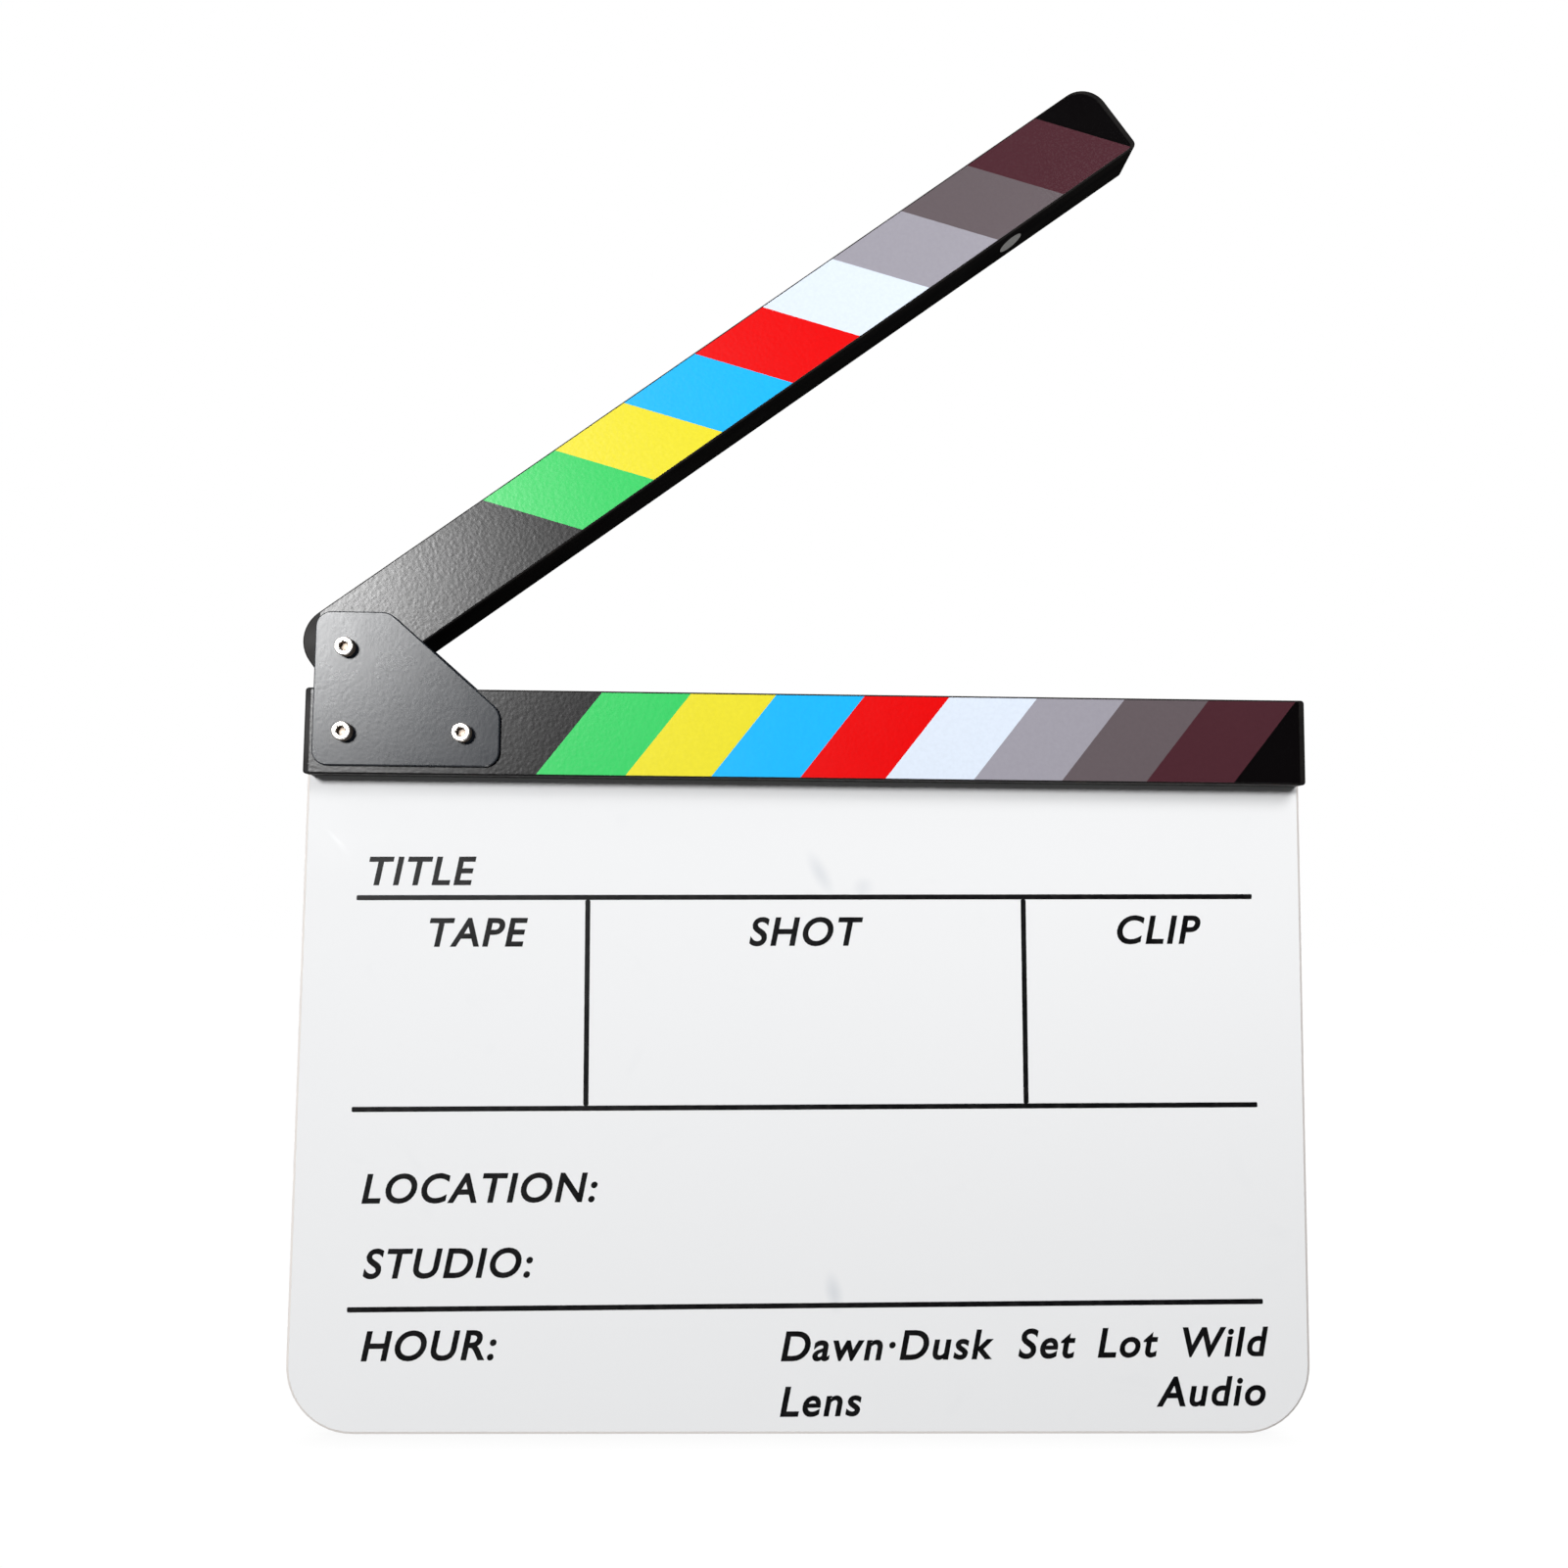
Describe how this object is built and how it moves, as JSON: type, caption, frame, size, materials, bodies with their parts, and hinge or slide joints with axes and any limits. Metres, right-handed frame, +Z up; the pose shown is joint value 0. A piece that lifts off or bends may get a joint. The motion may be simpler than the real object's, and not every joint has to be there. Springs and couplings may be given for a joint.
{
  "type": "clapperboard",
  "caption": "White acrylic film slate under a pair of striped wooden clapsticks; the upper stick swings on a steel plate hinge at one end and claps shut.",
  "frame": {"origin": "middle of the acrylic sheet's bottom edge, at half its thickness", "axes": "+X along the lower clapstick, away from the hinge; +Y from the written front to the back; +Z up, from the sheet to the sticks"},
  "size_m": [0.3039, 0.0282, 0.4117],
  "materials": {
    "white_acrylic": "glossy white, polished edges",
    "black_wood": "black satin lacquer",
    "stripe_film": "printed film with colour stripes, fine satin texture",
    "hinge_steel": "satin black coat",
    "screw_steel": "bright plated steel",
    "nut_steel": "zinc plated steel",
    "magnet_nickel": "nickel plate",
    "nylon": "natural nylon"
  },
  "bodies": {
    "slate": {"slate_sheet": "white_acrylic", "lower_stick": "black_wood", "lower_stripe_film": "stripe_film", "front_hinge_plate": "hinge_steel", "back_hinge_plate": "hinge_steel", "pivot_screw": "screw_steel", "base_screw_left": "screw_steel", "base_screw_right": "screw_steel", "pivot_washer": "nut_steel", "pivot_lock_nut": "nut_steel", "base_washer_left": "nut_steel", "base_washer_right": "nut_steel", "base_nut_left": "nut_steel", "base_nut_right": "nut_steel", "lower_magnet": "magnet_nickel", "pivot_nut_insert": "nylon"},
    "clapper": {"upper_stick": "black_wood", "upper_stripe_film": "stripe_film", "upper_magnet": "magnet_nickel", "friction_washer_front": "nylon", "friction_washer_back": "nylon"}
  },
  "joints": [
    {"name": "clapstick_hinge", "type": "hinge", "parent": "slate", "child": "clapper", "pos_m": [-0.1386, 0, 0.2309], "axis": [0, -1, 0], "range_deg": [-36.5, 53.5]}
  ]
}
